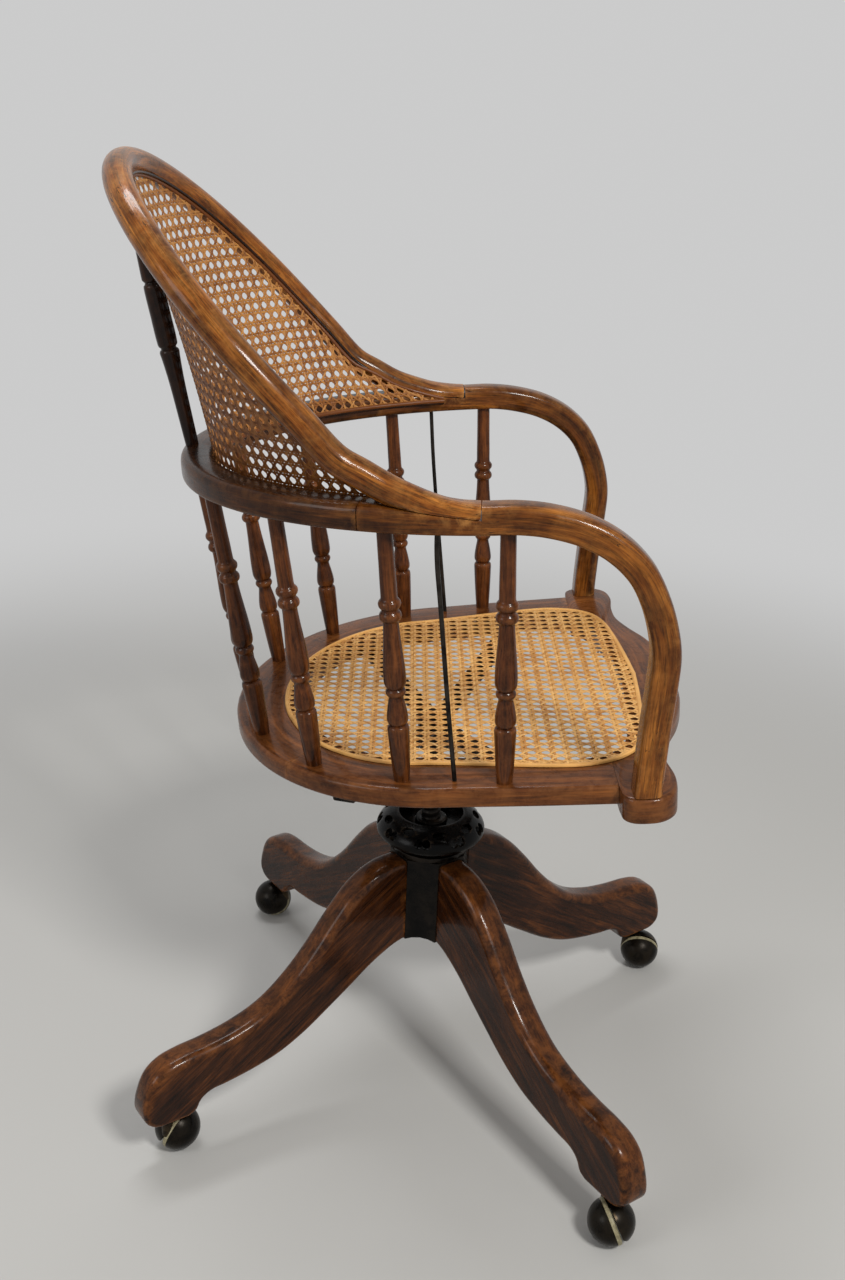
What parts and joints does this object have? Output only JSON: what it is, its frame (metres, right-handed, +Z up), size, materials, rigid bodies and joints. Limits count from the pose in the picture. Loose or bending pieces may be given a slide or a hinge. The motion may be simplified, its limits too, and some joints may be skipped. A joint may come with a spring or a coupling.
{
  "type": "swivel armchair",
  "caption": "Wooden swivel armchair with caned seat and back, turned spindles, a bentwood hoop, iron height screw with handwheel, and splayed legs on ball casters",
  "frame": {"origin": "centre of the bounding box's floor rectangle, on the floor under the four casters", "axes": "+Z up, +X towards the chair's front edge, +Y towards the sitter's left"},
  "size_m": [0.6148, 0.6002, 0.9732],
  "materials": {
    "leg_wood": "reddish brown stained hardwood under glossy varnish, lighter on worn edges",
    "seat_wood": "mid brown stained hardwood, satin varnish, worn edges",
    "arm_wood": "golden brown steam-bent hardwood with dark streaky grain, glossy varnish",
    "turned_wood": "turned hardwood, dark reddish brown varnish",
    "dark_wood": "very dark brown stained hardwood, varnished",
    "seat_cane": "woven split cane, light golden yellow, satin",
    "back_cane": "woven split cane, aged orange brown",
    "black_iron": "black japanned cast iron, glossy",
    "dark_bronze": "dark bronze caster shells, worn satin",
    "dark_steel": "dark oiled steel"
  },
  "bodies": {
    "base": {"hub": "black_iron", "hub_key": "dark_steel", "hub_cap": "black_iron", "cap_screw_1": "black_iron", "cap_screw_2": "black_iron", "cap_screw_3": "black_iron", "cap_screw_4": "black_iron", "leg_front_left": "leg_wood", "leg_rear_left": "leg_wood", "leg_rear_right": "leg_wood", "leg_front_right": "leg_wood", "caster_sleeve_front_left": "dark_bronze", "caster_sleeve_rear_left": "dark_bronze", "caster_sleeve_rear_right": "dark_bronze", "caster_sleeve_front_right": "dark_bronze"},
    "handwheel": {"handwheel": "black_iron"},
    "screw": {"height_screw": "dark_steel", "thrust_washer": "dark_steel", "swivel_nut": "dark_steel"},
    "seat": {"seat_iron": "black_iron", "iron_screw_1": "dark_steel", "iron_screw_2": "dark_steel", "iron_screw_3": "dark_steel", "iron_screw_4": "dark_steel", "rim_rear": "seat_wood", "rim_left": "seat_wood", "rim_right": "seat_wood", "front_board": "seat_wood", "seat_cane": "seat_cane", "seat_cane_binding": "seat_cane", "spindle_1_left": "turned_wood", "spindle_1_right": "turned_wood", "spindle_2_left": "turned_wood", "spindle_2_right": "turned_wood", "spindle_3_left": "turned_wood", "spindle_3_right": "turned_wood", "spindle_4_left": "turned_wood", "spindle_4_right": "turned_wood", "spindle_rear": "turned_wood", "tie_rod_left": "dark_steel", "tie_rod_right": "dark_steel", "arm_left": "arm_wood", "arm_right": "arm_wood", "rear_rail": "dark_wood", "back_hoop": "arm_wood", "back_post": "dark_wood", "back_cane": "back_cane"},
    "caster_front_left": {"caster_hood_front_left": "dark_bronze", "caster_axle_front_left": "dark_steel"},
    "wheel_front_left": {"caster_wheel_front_left": "dark_bronze"},
    "caster_rear_left": {"caster_hood_rear_left": "dark_bronze", "caster_axle_rear_left": "dark_steel"},
    "wheel_rear_left": {"caster_wheel_rear_left": "dark_bronze"},
    "caster_rear_right": {"caster_hood_rear_right": "dark_bronze", "caster_axle_rear_right": "dark_steel"},
    "wheel_rear_right": {"caster_wheel_rear_right": "dark_bronze"},
    "caster_front_right": {"caster_hood_front_right": "dark_bronze", "caster_axle_front_right": "dark_steel"},
    "wheel_front_right": {"caster_wheel_front_right": "dark_bronze"}
  },
  "joints": [
    {"name": "handwheel_turn", "type": "hinge", "parent": "base", "child": "handwheel", "pos_m": [0.006, 0, 0.29], "axis": [0, 0, 1], "range_deg": [-1800, 2250]},
    {"name": "seat_lift", "type": "slide", "parent": "base", "child": "screw", "axis": [0, 0, 1], "range_m": [-0.05, 0.04]},
    {"name": "seat_swivel", "type": "hinge", "parent": "screw", "child": "seat", "pos_m": [0.006, 0, 0.41], "axis": [0, 0, 1], "continuous": true},
    {"name": "caster_swivel_front_left", "type": "hinge", "parent": "base", "child": "caster_front_left", "pos_m": [0.26725, 0.17955, 0.07], "axis": [0, 0, 1], "continuous": true},
    {"name": "wheel_spin_front_left", "type": "hinge", "parent": "caster_front_left", "child": "wheel_front_left", "pos_m": [0.28411, 0.17733, 0.0235], "axis": [-0.1227, -0.9317, -0.342], "continuous": true},
    {"name": "caster_swivel_rear_left", "type": "hinge", "parent": "base", "child": "caster_rear_left", "pos_m": [-0.17355, 0.26125, 0.07], "axis": [0, 0, 1], "continuous": true},
    {"name": "wheel_spin_rear_left", "type": "hinge", "parent": "caster_rear_left", "child": "wheel_rear_left", "pos_m": [-0.18889, 0.26857, 0.0235], "axis": [0.4045, 0.8482, -0.342], "continuous": true},
    {"name": "caster_swivel_rear_right", "type": "hinge", "parent": "base", "child": "caster_rear_right", "pos_m": [-0.25524, -0.17955, 0.07], "axis": [0, 0, 1], "continuous": true},
    {"name": "wheel_spin_rear_right", "type": "hinge", "parent": "caster_rear_right", "child": "wheel_rear_right", "pos_m": [-0.24766, -0.16434, 0.0235], "axis": [0.841, -0.4193, -0.342], "continuous": true},
    {"name": "caster_swivel_front_right", "type": "hinge", "parent": "base", "child": "caster_front_right", "pos_m": [0.18555, -0.26125, 0.07], "axis": [0, 0, 1], "continuous": true},
    {"name": "wheel_spin_front_right", "type": "hinge", "parent": "caster_front_right", "child": "wheel_front_right", "pos_m": [0.18894, -0.27791, 0.0235], "axis": [-0.9208, -0.1873, -0.342], "continuous": true}
  ],
  "couplings": [
    {"joint": "seat_lift", "follows": "handwheel_turn", "m_per_rad": -0.0012732}
  ]
}
